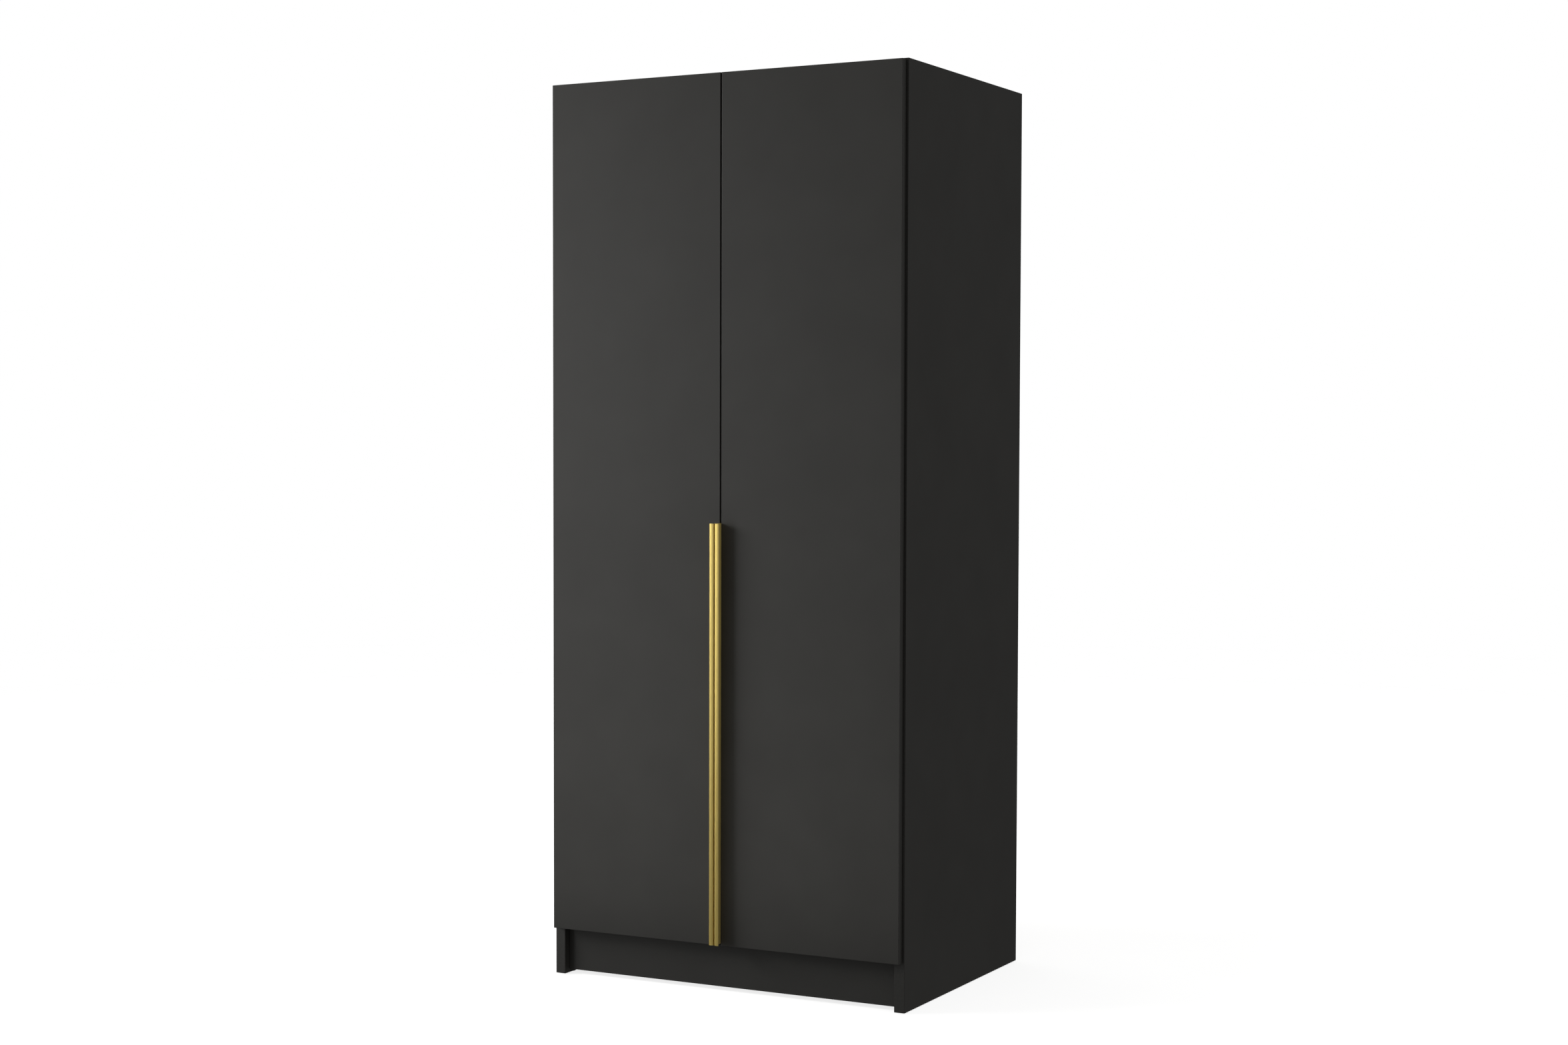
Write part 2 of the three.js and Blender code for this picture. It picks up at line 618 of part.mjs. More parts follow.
// The arm holds the pin in a knuckle, runs inwards past the swing of the door's corner, goes
// back beside the inner face of the side, and widens into a channel over the plate's rib.
function hingeArmGeometry() {
  const half = ARM_SHEET / 2;
  const neckNear = Math.max(
    CORNER_SWING + SWING_CLEARANCE + FITTING_CLEARANCE,
    SIDE_FACE_FROM_PIVOT + NECK_CLEARANCE,
  );
  const neckFar = neckNear + ARM_SHEET;
  const neckEnd = CARCASS_FROM_PIVOT + ARM_SHEET;
  const channelStart = neckEnd + ARM_NECK_RUN;
  const channelTop = SIDE_FACE_FROM_PIVOT + CHANNEL_HEIGHT;
  const webFace = channelTop - CHANNEL_WALL;

  const neck = new THREE.Shape([
    [0, -half],
    [neckFar, -half],
    [neckFar, neckEnd],
    [channelTop, channelStart],
    [channelTop, channelStart + CHANNEL_WALL],
    [webFace, channelStart + CHANNEL_WALL],
    [neckNear, neckEnd + CHANNEL_WALL],
    [neckNear, half],
    [0, half],
  ].map(([x, y]) => new THREE.Vector2(x, y)));
  const knuckle = barAlongZ(KNUCKLE_RADIUS, -ARM_WIDTH / 2, ARM_WIDTH / 2, SMALL_ROUND);
  const bore = barAlongZ(HINGE_PIN_RADIUS + PIVOT_PLAY, -ARM_WIDTH, ARM_WIDTH, SMALL_ROUND);
  const channelFoot = SIDE_FACE_FROM_PIVOT + SEAT_GAP + PLATE_THICKNESS + FITTING_CLEARANCE;
  const channelEnd = channelStart + CHANNEL_LENGTH;
  const channel = block(
    [channelFoot, channelTop],
    [channelStart, channelEnd],
    [-CHANNEL_WIDTH / 2, CHANNEL_WIDTH / 2],
  );
  const legRoom = CHANNEL_WIDTH / 2 - CHANNEL_WALL;
  const inside = block([channelFoot - 1, webFace], [channelStart - 1, channelEnd + 1], [-legRoom, legRoom]);
  return cut(join(drawnAlongZ(neck, ARM_WIDTH), knuckle, cut(channel, inside)), bore);
}

// The plate is screwed to the inner face of the side, and its rib carries the arm.
function hingePlateGeometry() {
  const foot = SIDE_FACE_FROM_PIVOT + SEAT_GAP;
  const ribTop = SIDE_FACE_FROM_PIVOT + CHANNEL_HEIGHT - CHANNEL_WALL - FITTING_CLEARANCE;
  const ribHalf = CHANNEL_WIDTH / 2 - CHANNEL_WALL - FITTING_CLEARANCE;
  const line = CARCASS_FROM_PIVOT + PLATE_SCREW_LINE;
  const wings = block(
    [foot, foot + PLATE_THICKNESS],
    [line - PLATE_WIDTH / 2, line + PLATE_WIDTH / 2],
    [-PLATE_REACH, PLATE_REACH],
  );
  const rib = block(
    [foot, ribTop],
    [line - PLATE_RIB_LENGTH / 2, line + PLATE_RIB_LENGTH / 2],
    [-ribHalf, ribHalf],
  );
  return join(wings, rib);
}

function addHinges() {
  const pieces = [
    ['cup', hingeCupGeometry()],
    ['arm', hingeArmGeometry()],
    ['plate', hingePlateGeometry()],
  ];
  for (const hand of HANDS) {
    HINGES_Z.forEach((z, i) => {
      for (const [piece, geometry] of pieces) {
        const name = `${hand.name}_hinge_${piece}_${i + 1}`;
        addHanded(name, geometry, ZINC_STEEL, hand, PIVOT_X, PIVOT_Y, z);
      }
    });
  }
}

addCarcass();
addFloorGlides();
addBack();
addTopRail();
addShelf();
addClothesRail();
addDoors();
addHinges();

export default wardrobe;
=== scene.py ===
"""Two-door wardrobe in graphite laminate with gold edge pulls, finished for the studio.

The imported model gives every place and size. Boards and fittings are made again here from the
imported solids, with edge bands, rounded edges and proper finishes. The small hardware is added:
screws, cam fittings, back nails, and the dampers inside the hinge cups.
"""
import json
import math

import bmesh
import bpy
from mathutils import Matrix, Vector


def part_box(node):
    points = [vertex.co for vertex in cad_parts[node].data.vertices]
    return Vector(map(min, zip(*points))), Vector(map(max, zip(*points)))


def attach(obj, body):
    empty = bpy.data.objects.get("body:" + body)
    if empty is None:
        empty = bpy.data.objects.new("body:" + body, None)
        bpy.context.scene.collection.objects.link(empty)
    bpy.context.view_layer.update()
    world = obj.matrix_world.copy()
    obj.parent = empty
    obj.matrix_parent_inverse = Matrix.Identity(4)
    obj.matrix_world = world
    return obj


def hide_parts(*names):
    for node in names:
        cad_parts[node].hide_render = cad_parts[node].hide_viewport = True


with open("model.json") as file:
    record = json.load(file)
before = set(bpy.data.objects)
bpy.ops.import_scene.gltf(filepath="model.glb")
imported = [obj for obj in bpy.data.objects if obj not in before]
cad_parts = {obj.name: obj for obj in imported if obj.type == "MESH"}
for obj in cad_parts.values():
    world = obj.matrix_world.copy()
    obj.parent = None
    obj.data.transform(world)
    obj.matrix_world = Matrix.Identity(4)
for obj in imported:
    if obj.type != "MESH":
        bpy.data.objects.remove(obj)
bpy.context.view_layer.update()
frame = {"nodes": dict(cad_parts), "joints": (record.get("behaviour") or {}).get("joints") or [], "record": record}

MM = 0.001
X_AXIS = Vector((1, 0, 0))
Y_AXIS = Vector((0, 1, 0))
Z_AXIS = Vector((0, 0, 1))
HINGES = (1, 2, 3, 4)

# Each hand: the sign of +X towards the middle of the wardrobe.
INWARD = {"left": 1, "right": -1}

# The camera stands to the right of the wardrobe and looks a little down at it.
CAMERA_FROM_FRONT = 4.636
CAMERA_TO_THE_RIGHT = 2.418
CAMERA_HEIGHT = 1.130
CAMERA_TURN = 29.49
CAMERA_TILT = 2.80
LENS = 59.3
SENSOR = 36.0
SHIFT_ACROSS = 0.0938
SHIFT_UP = 0.0276

# Boards and sheet parts.
BOARD_EDGE_RADIUS = 0.9 * MM
BOARD_LEAST_EDGE = 12 * MM
BOARD_FACE_DEPTH = 0.1 * MM
SHEET_EDGE_RADIUS = 0.25 * MM
SHEET_LEAST_EDGE = 1.2 * MM
JOINT_STRIP_EDGE_RADIUS = 0.3 * MM

# Angles in degrees: where two faces count as one, as a crease, as a corner, and as a round edge.
ONE_FACE = 0.5
CREASE = 35
CORNER = 50
ROUNDED_FROM = 55
WELD_REACH = 0.005 * MM
# How much the normals of large faces outweigh those of the rounded edges beside them.
FLAT_FACE_WEIGHT = 100

# Pulls.
PULL_WALL = 0.9 * MM
PULL_LIP = 10 * MM
PULL_LIP_CORNER = 0.9 * MM
PULL_FLANGE_CORNER = 1.2 * MM
PULL_CROWN = 1.0 * MM
PULL_CORNER_SAG = 0.7 * PULL_CROWN
PULL_STEP = 1.0 * MM
PULL_EDGE_RADIUS = 0.28 * MM
PULL_SCREWS = 6
PULL_SCREW_FROM_END = 40 * MM

# Hinges. The places are measured from the pivot: inwards, back and up.
CUP_CENTRE = 14.5 * MM
CUP_BORE = 17.5 * MM
CUP_OUTSIDE = 17.2 * MM
CUP_RIM = 18.9 * MM
CUP_WALL = 0.8 * MM
CUP_CORNER = 2.2 * MM
CUP_EDGE_RADIUS = 0.2 * MM
CUP_FLOOR = -3.0 * MM
FLANGE_UNDER = 9.7 * MM
FLANGE_TOP = 10.7 * MM
EAR_OFFSET = 6 * MM
EAR_RADIUS = 7 * MM
EAR_SCREW = 24 * MM
PIN_RADIUS = 1.0 * MM
PIN_LENGTH = 14.6 * MM
PIN_CHAMFER = 0.2 * MM
DAMPER_NEAR = 0.5 * MM
DAMPER_FAR = 11 * MM
DAMPER_HALF = 8 * MM
DAMPER_TOP = 6.5 * MM
DAMPER_CORNER = 2 * MM
DAMPER_EDGE_RADIUS = 0.5 * MM
SLOT_HALF = 5.5 * MM
PLATE_SCREW = 17 * MM
PLATE_WING = 2.0 * MM
CHANNEL_START = 25 * MM
ARM_SCREWS = (14 * MM, 38 * MM)

# Clothes rail and its sockets.
RAIL_WALL = 1.2 * MM
RAIL_EDGE_RADIUS = 0.3 * MM
SOCKET_BASE = 3 * MM
SOCKET_WALL = 2 * MM
SOCKET_FLANGE = 6 * MM
SEAT_GAP = 0.2 * MM

# Shelf supports, glides and the bracket that holds the wardrobe to the wall.
SUPPORT_EDGE_RADIUS = 0.3 * MM
GLIDE_PIN = 1.5 * MM
BRACKET_SHEET = 2 * MM
BRACKET_LEAST_EDGE = 1 * MM
BRACKET_EDGE_RADIUS = 0.4 * MM
BRACKET_SCREW = 11 * MM

# Fasteners: head radius, head height, shank radius, shank length, reach of the cross recess.
HINGE_SCREW = (3.6 * MM, 1.2 * MM, 1.6 * MM, 6 * MM, 2.0 * MM)
ARM_SCREW = (3.0 * MM, 1.0 * MM, 1.6 * MM, 3 * MM, 1.9 * MM)
PULL_SCREW = (2.6 * MM, 0.5 * MM, 1.2 * MM, 6 * MM, 1.5 * MM)
SOCKET_SCREW = (2.5 * MM, 0.8 * MM, 1.3 * MM, 6 * MM, 1.5 * MM)
CAM = (7.5 * MM, 0.5 * MM, 6.9 * MM, 3 * MM, 3.2 * MM)
BACK_NAIL = (2.3 * MM, 0.5 * MM, 0.8 * MM, 6 * MM, 0)
CAM_FROM_END = 34 * MM
CAM_FROM_EDGE = 60 * MM
NAIL_SPACING = 95 * MM

# Studio. The surroundings are dim to the wardrobe and white to the camera.
ROOM_STRENGTH = 0.245
FLOOR_BOUNCE = 0.14
FLOOR_LIFT = 0.8
FLOOR_REACH = 12.0
FLOOR_FADE_START = 2.0
FLOOR_FADE_END = 9.0
HORIZON_BLUR = 0.1
LIGHTS = (
    # name, place, point it faces, width, height, radiance,
    # whether it lights matt surfaces, and whether glossy surfaces mirror it
    ("key_softbox", (-3.03, -2.05, 1.90), (0.0, -0.30, 0.95), 2.07, 1.23, 6.8, True, True),
    ("low_reflector", (-0.30, -0.95, 0.06), (-0.30, -0.95, 3.00), 1.6, 0.8, 1.0, True, False),
    ("left_strip", (-2.10, -2.75, 0.88), (0.0, -0.30, 0.70), 0.7, 1.7, 5.6, False, True),
    ("right_card", (3.00, -0.75, 0.90), (0.0, -0.30, 0.80), 1.0, 1.4, 1.6, True, True),
)


# ---------------------------------------------------------------- colours and nodes

# Where a pattern's usual values start and end.
PATTERN_LOW = 0.3
PATTERN_HIGH = 0.7

# The sockets that a Mix node uses for colours.
FIRST_COLOUR = 6
SECOND_COLOUR = 7
MIXED_COLOUR = 2


def linear(hex_colour):
    """An sRGB hex colour as the linear colour that shaders use."""
    channels = [int(hex_colour[i:i + 2], 16) / 255 for i in (1, 3, 5)]
    curved = [c / 12.92 if c <= 0.04045 else ((c + 0.055) / 1.055) ** 2.4 for c in channels]
    return (*curved, 1.0)


def per_metre(size_mm):
    """The texture scale that gives one feature in every size_mm."""
    return 1 / (size_mm * MM)


def add(tree, kind, inputs=(), **settings):
    """Adds a node. An input takes a value, a socket, or another node's first output."""
    made = tree.nodes.new(kind)
    for name, value in settings.items():
        setattr(made, name, value)
    for socket, value in dict(inputs).items():
        if isinstance(value, bpy.types.Node):
            value = value.outputs[0]
        if isinstance(value, bpy.types.NodeSocket):
            tree.links.new(value, made.inputs[socket])
        else:
            made.inputs[socket].default_value = value
    return made


def start_material(name, **values):
    """A material with a Principled shader, whose uniform values are set on its own sockets."""
    material = bpy.data.materials.new(name)
    material.use_nodes = True
    tree = material.node_tree
    shader = tree.nodes["Principled BSDF"]
    for socket, value in values.items():
        shader.inputs[socket.replace("_", " ")].default_value = value
    place = add(tree, "ShaderNodeTexCoord").outputs["Object"]
    return material, tree, shader, place


def dress(tree, shader, colour, roughness, relief=None):
    """Lets patterns drive a surface.

    The colour takes a pattern and the two colours it goes between, the roughness a pattern and
    its two ends, and the relief a pattern, its strength and its depth in millimetres.
    """
    pattern, first, second = colour
    share = add(tree, "ShaderNodeMapRange", {
        "Value": pattern, "From Min": PATTERN_LOW, "From Max": PATTERN_HIGH,
    })
    mix = add(tree, "ShaderNodeMix", {
        "Factor": share, FIRST_COLOUR: linear(first), SECOND_COLOUR: linear(second),
    }, data_type="RGBA")
    tree.links.new(mix.outputs[MIXED_COLOUR], shader.inputs["Base Color"])
    pattern, smooth, rough = roughness
    gloss = add(tree, "ShaderNodeMapRange", {
        "Value": pattern,
        "From Min": PATTERN_LOW,
        "From Max": PATTERN_HIGH,
        "To Min": smooth,
        "To Max": rough,
    })
    tree.links.new(gloss.outputs[0], shader.inputs["Roughness"])
    if relief:
        pattern, strength, depth_mm = relief
        bump = add(tree, "ShaderNodeBump", {
            "Height": pattern, "Strength": strength, "Distance": depth_mm * MM,
        })
        tree.links.new(bump.outputs[0], shader.inputs["Normal"])


# ---------------------------------------------------------------- materials

def pressed_melamine(name, pale, dark, roughness):
    """Melamine-faced chipboard, pressed against a finely textured plate.

    It gives a matt, slightly mottled face with a soft broad sheen and no grain direction.
    """
    material, tree, shader, place = start_material(name, IOR=1.48, Specular_IOR_Level=0.32)
    # The plate's real grit is about 0.4 mm. It is drawn at 1.6 mm, so that it shows.
    grit = add(tree, "ShaderNodeTexNoise", {
        "Vector": place, "Scale": per_metre(1.6), "Detail": 3, "Roughness": 0.6,
    })
    cloud = add(tree, "ShaderNodeTexNoise", {
        "Vector": place, "Scale": per_metre(140), "Detail": 2, "Roughness": 0.55,
    })
    mottle = add(tree, "ShaderNodeMath", {0: grit, 1: cloud}, operation="ADD")
    tone = add(tree, "ShaderNodeMapRange", {
        "Value": mottle,
        "From Min": 0.7,
        "From Max": 1.3,
        "To Min": PATTERN_LOW,
        "To Max": PATTERN_HIGH,
    })
    dress(
        tree,
        shader,
        colour=(tone, dark, pale),
        roughness=(grit, roughness - 0.04, roughness + 0.05),
        relief=(grit, 0.12, 0.15),
    )
    return material


def edge_band(name, pale, dark):
    """ABS edge band, extruded and buffed after trimming.

    It gives a closed, even edge that shines a little more than the board's face.
    """
    material, tree, shader, place = start_material(name, IOR=1.52, Specular_IOR_Level=0.36)
    # Buffing marks are about 0.5 mm wide. They are drawn at 4.8 mm, so that they show.
    marks = add(tree, "ShaderNodeTexNoise", {
        "Vector": place, "Scale": per_metre(4.8), "Detail": 4, "Roughness": 0.55,
    })
    # The extruder leaves a skin with grit of about 0.1 mm. It is drawn at 0.9 mm.
    skin_grit = add(tree, "ShaderNodeTexNoise", {
        "Vector": place, "Scale": per_metre(0.9), "Detail": 3, "Roughness": 0.55,
    })
    dress(
        tree,
        shader,
        colour=(marks, dark, pale),
        roughness=(skin_grit, 0.42, 0.52),
        relief=(skin_grit, 0.08, 0.08),
    )
    return material


def chipboard_core():
    """Chipboard, pressed from wood flakes and glue, and bare where it is sawn or bored.

    It gives a dull, speckled, pale brown cut.
    """
    material, tree, shader, place = start_material("bare_sawn_chipboard", IOR=1.5)
    # The flakes are about 1.8 mm across.
    flakes = add(tree, "ShaderNodeTexVoronoi", {"Vector": place, "Scale": per_metre(1.8)})
    tone = add(tree, "ShaderNodeSeparateColor", {"Color": flakes.outputs["Color"]})
    dress(
        tree,
        shader,
        colour=(tone, "#7d6141", "#b89a70"),
        roughness=(tone, 0.8, 0.95),
        relief=(flakes, 0.5, 0.4),
    )
    return material


def hardboard(name, pale, dark, roughness, depth_mm):
    """Hardboard, pressed from wet fibres into a thin sheet.

    The fibres give a fine felted pattern, long up and down.
    """
    material, tree, shader, place = start_material(name, IOR=1.5, Specular_IOR_Level=0.35)
    # Real fibres are about 0.2 mm thick. They are drawn at 1.5 mm, so that they show.
    upright = add(tree, "ShaderNodeMapping", {"Vector": place, "Scale": (1, 1, 1 / 4)})
    fibres = add(tree, "ShaderNodeTexNoise", {
        "Vector": upright, "Scale": per_metre(1.5), "Detail": 6, "Roughness": 0.7,
    })
    patches = add(tree, "ShaderNodeTexNoise", {
        "Vector": place, "Scale": per_metre(60), "Detail": 2, "Roughness": 0.55,
    })
    felt = add(tree, "ShaderNodeMath", {0: fibres, 1: patches}, operation="MULTIPLY")
    tone = add(tree, "ShaderNodeMapRange", {
        "Value": felt,
        "From Min": 0.12,
        "From Max": 0.4,
        "To Min": PATTERN_LOW,
        "To Max": PATTERN_HIGH,
    })
    dress(
        tree,
        shader,
        colour=(tone, dark, pale),
        roughness=(fibres, roughness - 0.06, roughness + 0.06),
        relief=(fibres, 0.3, depth_mm),
    )
    return material


def lined_metal(name, pale, dark, roughness, line_mm, stretch, depth_mm, **values):
    """A metal with fine lines, drawn out by stretch along X, Y and Z.

    The lines are left by extruding, rolling, brushing or turning, and draw the shine out.
    """
    material, tree, shader, place = start_material(name, Metallic=1.0, **values)
    drawn_out = add(tree, "ShaderNodeMapping", {
        "Vector": place, "Scale": [1 / s for s in stretch],
    })
    lines = add(tree, "ShaderNodeTexNoise", {
        "Vector": drawn_out, "Scale": per_metre(line_mm), "Detail": 3, "Roughness": 0.55,
    })
    dress(
        tree,
        shader,
        colour=(lines, dark, pale),
        roughness=(lines, roughness - 0.05, roughness + 0.05),
        relief=(lines, 0.25, depth_mm),
    )
    return material


def moulded_plastic(name, pale, dark, roughness, grain_mm, **values):
    """A moulded plastic, which takes its grain from the mould."""
    material, tree, shader, place = start_material(name, **values)
    grain = add(tree, "ShaderNodeTexNoise", {
        "Vector": place, "Scale": per_metre(grain_mm), "Detail": 3, "Roughness": 0.55,
    })
    dress(
        tree,
        shader,
        colour=(grain, dark, pale),
        roughness=(grain, roughness - 0.04, roughness + 0.04),
        relief=(grain, 0.2, 0.05),
    )
    return material


MELAMINE_FRONT = pressed_melamine("graphite_pressed_melamine_front", "#403f3c", "#3a3936", 0.55)
MELAMINE = pressed_melamine("graphite_pressed_melamine_carcass", "#3d3c39", "#373633", 0.57)
BAND = edge_band("graphite_buffed_abs_edge_band", "#3b3a37", "#353431")
CHIPBOARD = chipboard_core()
HARDBOARD_INSIDE = hardboard("graphite_lacquered_hardboard", "#403f3c", "#393835", 0.5, 0.06)
HARDBOARD_REAR = hardboard("raw_pressed_hardboard", "#8f6f4e", "#684c33", 0.82, 0.2)

# Aluminium, extruded, brushed along its length and anodised gold: a warm satin shine that
# spreads sideways. The brush lines are about 0.1 mm wide. They are drawn at 0.4 mm to show.
GOLD = lined_metal("gold_anodised_extruded_aluminium", "#f4dc88", "#e9cf78", 0.48, 0.4,
                   (1, 1, 150), 0.02, Anisotropic=0.7)

# Pressed steel, nickel plated: a bright, faintly yellow grey with the sheet's rolling lines.
# The lines are about 0.05 mm wide. They are drawn at 0.5 mm, so that they show.
NICKEL = lined_metal("nickel_plated_pressed_steel", "#c4c1b8", "#aeaba3", 0.28, 0.5,
                     (1, 24, 1), 0.01)

# Drawn steel tube, chromium plated: nearly a mirror, with faint lines along the tube.
# The lines are about 0.02 mm wide. They are drawn at 0.5 mm, so that they show.
CHROME = lined_metal("chromed_drawn_steel", "#dcdee0", "#cfd1d3", 0.12, 0.5, (160, 1, 1), 0.003)

# Turned steel screws and nails, zinc plated: a duller, bluish grey with small spangles.
# The spangles are about 0.5 mm across. They are drawn at 1.2 mm, so that they show.
ZINC = lined_metal("zinc_plated_turned_steel", "#b4b7ba", "#93969a", 0.36, 0.6, (2, 2, 2), 0.02)

# Polypropylene, moulded against a sparked tool: near black, with a soft dull shine.
BLACK = moulded_plastic("black_moulded_polypropylene", "#232322", "#191918", 0.5, 0.9, IOR=1.49)

# Acetal, moulded against a plain tool: a middle grey that looks slightly waxy.
GREY = moulded_plastic("grey_moulded_acetal", "#8d8f90", "#7c7e7f", 0.42, 0.9, IOR=1.48)

# Polyurethane, cast clear: a milky drop that lets most of the light through.
PAD = moulded_plastic("clear_cast_polyurethane", "#dcdcd6", "#cfcfc8", 0.3, 1.2,
                      IOR=1.5, Transmission_Weight=0.6)

FINISH_OF_SLOT = {
    "front_laminate": MELAMINE_FRONT,
    "carcass_laminate": MELAMINE,
    "back_board": HARDBOARD_INSIDE,
    "gold_anodised_aluminium": GOLD,
    "hinge_steel": NICKEL,
    "chromed_tube": CHROME,
    "black_plastic": BLACK,
    "clear_rubber": PAD,
}
SLOT_OF_NODE = {row["node"]: row["material_slot"] for row in frame["record"]["subparts"]}
BODY_OF_NODE = {
    node: body
    for body, members in frame["record"]["behaviour"]["bodies"].items()
    for node in members
}


# ---------------------------------------------------------------- mesh code

def arc(centre, radius, start, end, steps):
    """Points on an arc, with its angles in degrees."""
    angles = [math.radians(start + (end - start) * k / steps) for k in range(steps + 1)]
    return [(centre[0] + radius * math.cos(a), centre[1] + radius * math.sin(a)) for a in angles]


def with_arcs(corners, steps=4, closed=True):
    """Turns corners of (x, y, radius) into an outline or path with arcs."""
    points = []
    for i, (x, y, radius) in enumerate(corners):
        here = Vector((x, y))
        if radius == 0 or (not closed and i in (0, len(corners) - 1)):
            points.append(here)
            continue
        back = (Vector(corners[i - 1][:2]) - here).normalized()
        ahead = (Vector(corners[(i + 1) % len(corners)][:2]) - here).normalized()
        half_angle = back.angle(ahead) / 2
        start = here + back * radius / math.tan(half_angle)
        end = here + ahead * radius / math.tan(half_angle)
        centre = here + (back + ahead).normalized() * radius / math.sin(half_angle)
        for k in range(steps + 1):
            spoke = (start - centre).lerp(end - centre, k / steps).normalized()
            points.append(centre + spoke * radius)
    return points


def thickened(path, half):
    """The outline of a sheet that follows a path, half its thickness to each side."""
    left, right = [], []
    for i, point in enumerate(path):
        along = (path[min(i + 1, len(path) - 1)] - path[max(i - 1, 0)]).normalized()
        across = Vector((-along.y, along.x)) * half
        left.append(point + across)
        right.append(point - across)
    return left + right[::-1]


def skin(bm, rings):
    """Joins each ring of points to the next with a band of faces."""
    for lower, upper in zip(rings, rings[1:]):
        for k in range(len(lower)):
            bm.faces.new((lower[k - 1], lower[k], upper[k], upper[k - 1]))


def prism(outline, low, high):
    """A solid with this outline in X and Y, from low to high in Z."""
    bm = bmesh.new()
    rings = [[bm.verts.new((x, y, z)) for x, y in outline] for z in (low, high)]
    skin(bm, rings)
    for ring in rings:
        bm.faces.new(ring)
    return bm


def block(low, high):
    """A box between two corners."""
    outline = [(low[0], low[1]), (high[0], low[1]), (high[0], high[1]), (low[0], high[1])]
    return prism(outline, low[2], high[2])


def turned(profile, spine=0.0, steps=48, ring=False):
    """A solid of (radius, height) points turned round Z.

    A spine stretches it along Y into an oval. A ring profile closes on itself, and any other
    gets a flat face at each end.
    """
    bm = bmesh.new()
    rings = []
    for radius, height in profile:
        upper = arc((0, spine / 2), radius, 0, 180, steps // 2)
        lower = arc((0, -spine / 2), radius, 180, 360, steps // 2)
        points = upper + lower if spine else upper[:-1] + lower[:-1]
        rings.append([bm.verts.new((x, y, height)) for x, y in points])
    if ring:
        skin(bm, [*rings, rings[0]])
    else:
        skin(bm, rings)
        bm.faces.new(rings[0])
        bm.faces.new(rings[-1])
    return bm


def combine(first, second, operation):
    """Joins or cuts two solids and gives the first one back."""
    helpers = []
    for name, bm in (("first_solid", first), ("second_solid", second)):
        bmesh.ops.recalc_face_normals(bm, faces=bm.faces)
        mesh = bpy.data.meshes.new(name)
        bm.to_mesh(mesh)
        helper = bpy.data.objects.new(name, mesh)
        bpy.context.scene.collection.objects.link(helper)
        helpers.append(helper)
    second.free()
    step = helpers[0].modifiers.new("combine", "BOOLEAN")
    step.operation = operation
    step.object = helpers[1]
    step.solver = "EXACT"
    result = helpers[0].evaluated_get(bpy.context.evaluated_depsgraph_get()).to_mesh()
    first.clear()
    first.from_mesh(result)
    for helper in helpers:
        mesh = helper.data
        bpy.data.objects.remove(helper)
        bpy.data.meshes.remove(mesh)
    return first


def facing(point, direction):
    """A place whose Z axis points along direction."""
    turn = Z_AXIS.rotation_difference(Vector(direction)).to_matrix().to_4x4()
    return Matrix.Translation(point) @ turn


def copies(source, places):
    """One mesh with the source solid standing at each place."""
    pattern = bpy.data.meshes.new("pattern")
    bmesh.ops.recalc_face_normals(source, faces=source.faces)
    source.to_mesh(pattern)
    source.free()
    bm = bmesh.new()
    for place in places:
        bm.from_mesh(pattern)
        bm.verts.ensure_lookup_table()
        bmesh.ops.transform(bm, matrix=place, verts=bm.verts[-len(pattern.vertices):])
    bpy.data.meshes.remove(pattern)
    return bm


def make_piece(name, bm, materials, body):
    """Turns mesh code into a named piece that rides on a body."""
    bmesh.ops.recalc_face_normals(bm, faces=bm.faces)
    mesh = bpy.data.meshes.new(name)
    bm.to_mesh(mesh)
    bm.free()
    for material in materials:
        mesh.materials.append(material)
    mesh.shade_smooth()
    mesh.set_sharp_from_angle(angle=math.radians(CREASE))
    piece = bpy.data.objects.new(name, mesh)
    bpy.context.scene.collection.objects.link(piece)
    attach(piece, body)
    return piece


def round_edges(piece, radius, steps=2, limit="ANGLE"):
    """Rounds the sharp edges of a piece and keeps its flat faces flat in the light."""
    bevel = piece.modifiers.new("rounded_edges", "BEVEL")
    bevel.width = radius
    bevel.segments = steps
    bevel.limit_method = limit
    bevel.angle_limit = math.radians(ROUNDED_FROM)
    flat = piece.modifiers.new("flat_faces", "WEIGHTED_NORMAL")
    flat.weight = FLAT_FACE_WEIGHT
    flat.keep_sharp = True
    return bevel


def piece_for(node, name, bm, radius=0, materials=None):
    """A piece made anew in place of a node, on its body and in its slot."""
    slot = SLOT_OF_NODE[node]
    piece = make_piece(name, bm, materials or [FINISH_OF_SLOT[slot]], BODY_OF_NODE[node])
    if radius:
        round_edges(piece, radius)
    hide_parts(node)
    return piece


def welded(node):
    """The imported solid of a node, with its facets joined into whole faces."""
    bm = bmesh.new()
    bm.from_mesh(frame["nodes"][node].data)
    bmesh.ops.remove_doubles(bm, verts=bm.verts, dist=WELD_REACH)
    bmesh.ops.dissolve_limit(
        bm, angle_limit=math.radians(ONE_FACE), verts=bm.verts, edges=bm.edges)
    return bm


def mark_edges(bm, least_length):
    """Gives a bevel weight to each long outer corner."""
    marks = bm.edges.layers.float.new("bevel_weight_edge")
    for edge in bm.edges:
        corner = len(edge.link_faces) == 2 and edge.calc_face_angle() > math.radians(CORNER)
        edge[marks] = float(corner and edge.is_convex and edge.calc_length() > least_length)


# ---------------------------------------------------------------- boards

BOARDS = (
    "left_side_panel", "right_side_panel", "top_panel", "bottom_panel", "front_plinth",
    "rear_plinth", "rear_top_rail", "hat_shelf", "left_door", "right_door",
)


